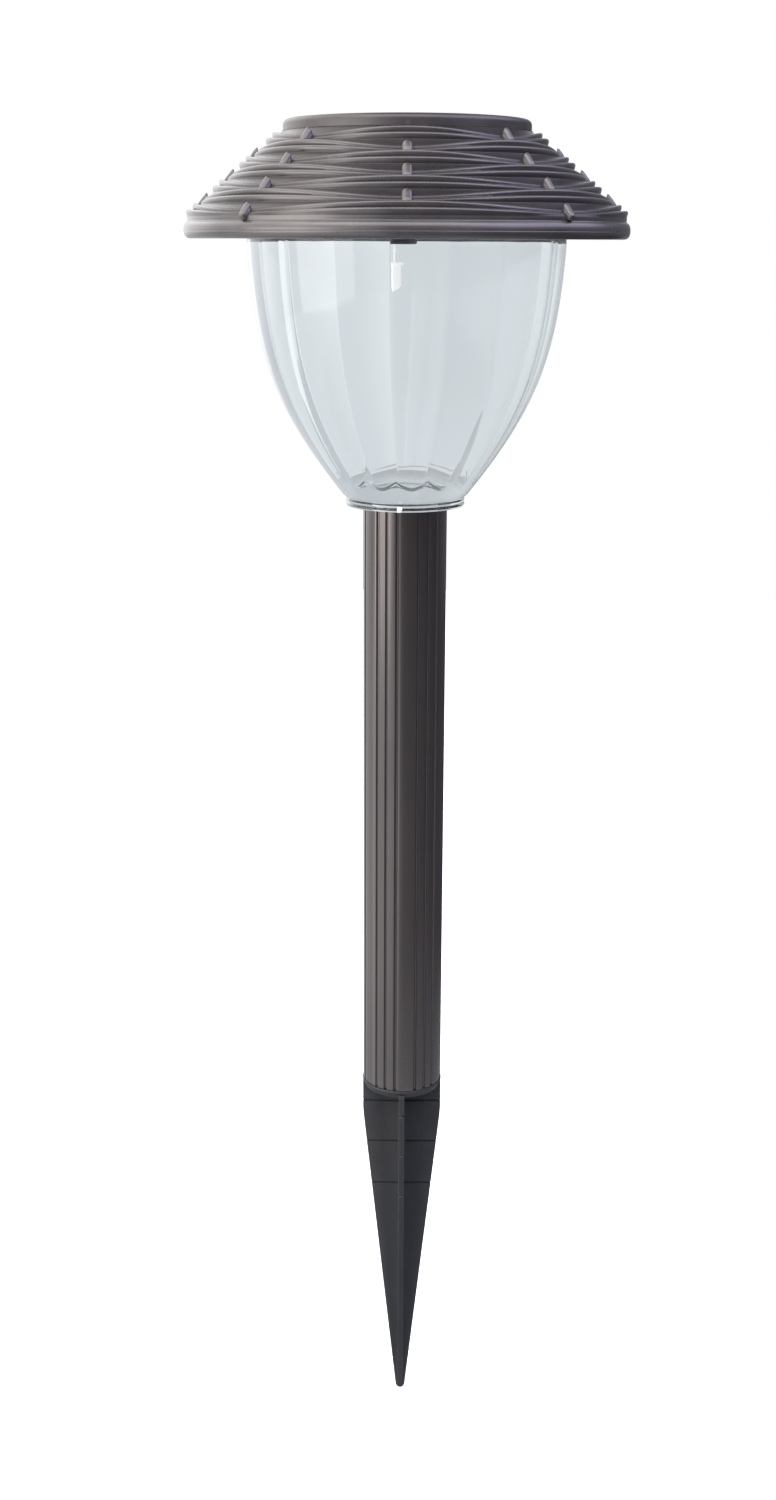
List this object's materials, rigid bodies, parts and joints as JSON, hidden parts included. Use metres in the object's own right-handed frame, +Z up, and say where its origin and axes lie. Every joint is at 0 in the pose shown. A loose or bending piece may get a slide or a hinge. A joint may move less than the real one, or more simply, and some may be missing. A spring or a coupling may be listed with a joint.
{
  "type": "solar garden light",
  "caption": "Solar path light: ground spike, grooved tube pole, clear fluted bell lens and a conical basket-weave cap with a solar panel on top and an LED below.",
  "frame": {"origin": "on the pole axis at ground level, where the underside of the spike's flange meets the soil", "axes": "+Z up along the pole, +X across the lamp to its right, -Y towards the viewer"},
  "size_m": [0.1294, 0.1294, 0.4181],
  "materials": {
    "spike_black": "semi-matt moulded, faint sink marks and ejector circles",
    "pole_bronze": "satin bronze coating with grooves",
    "cap_bronze": "satin bronze coating over moulded weave",
    "collar_bronze": "satin bronze coating",
    "clear_lens": "clear moulded, fluted inside",
    "clear_cover": "clear, polished",
    "seal_black": "matt",
    "cell_blue": "dark blue silicon with fine conductor lines",
    "panel_board": "white laminate",
    "housing_black": "moulded",
    "door_black": "moulded",
    "steel_screw": "bright zinc",
    "contact_plate": "nickel plated spring steel",
    "battery_sleeve": "printed plain sleeve",
    "board_green": "solder mask",
    "chip_black": "moulded epoxy",
    "coil_copper": "enamelled copper on ferrite",
    "capacitor_sleeve": "shrink sleeve",
    "switch_case": "plated shell",
    "switch_white": "moulded",
    "holder_white": "moulded",
    "led_clear": "clear epoxy",
    "tinned_wire": "tinned",
    "wire_red": "insulation",
    "wire_black": "insulation"
  },
  "bodies": {
    "stake": {"ground_spike": "spike_black"},
    "pole": {"pole_tube": "pole_bronze"},
    "bell": {"lens": "clear_lens"},
    "seal": {"lens_gasket": "seal_black"},
    "head": {"cap_shell": "cap_bronze", "top_bezel": "collar_bronze", "solar_panel_board": "panel_board", "solar_cells": "cell_blue", "panel_cover": "clear_cover", "electronics_housing": "housing_black", "housing_screws": "steel_screw", "door_hinge_pin": "steel_screw", "battery_cell": "battery_sleeve", "battery_contact_positive": "contact_plate", "battery_contact_negative": "contact_plate", "battery_spring": "contact_plate", "circuit_board": "board_green", "board_screws": "steel_screw", "controller_chip": "chip_black", "inductor": "coil_copper", "capacitor": "capacitor_sleeve", "switch_body": "switch_case", "led_holder": "holder_white", "led_lamp": "led_clear", "led_leads": "tinned_wire", "panel_wire_positive": "wire_red", "panel_wire_negative": "wire_black", "battery_wire_positive": "wire_red", "battery_wire_negative": "wire_black"},
    "switch": {"switch_slider": "switch_white"},
    "door": {"battery_door": "door_black"}
  },
  "joints": [
    {"name": "pole_lift", "type": "slide", "parent": "stake", "child": "pole", "axis": [0, 0, 1], "range_m": [0, 0.034]},
    {"name": "lens_lift", "type": "slide", "parent": "pole", "child": "bell", "axis": [0, 0, 1], "range_m": [0, 0.02]},
    {"name": "head_lift", "type": "slide", "parent": "bell", "child": "seal", "axis": [0, 0, 1], "range_m": [0, 0.03]},
    {"name": "head_twist", "type": "hinge", "parent": "seal", "child": "head", "pos_m": [0, 0, 0.2775], "axis": [0, 0, 1], "range_deg": [0, 18]},
    {"name": "switch_slide", "type": "slide", "parent": "head", "child": "switch", "axis": [1, 0, 0], "range_m": [0, 0.004]},
    {"name": "battery_door_hinge", "type": "hinge", "parent": "head", "child": "door", "pos_m": [0, 0.0213, 0.2761], "axis": [1, 0, 0], "range_deg": [0, 100]}
  ]
}
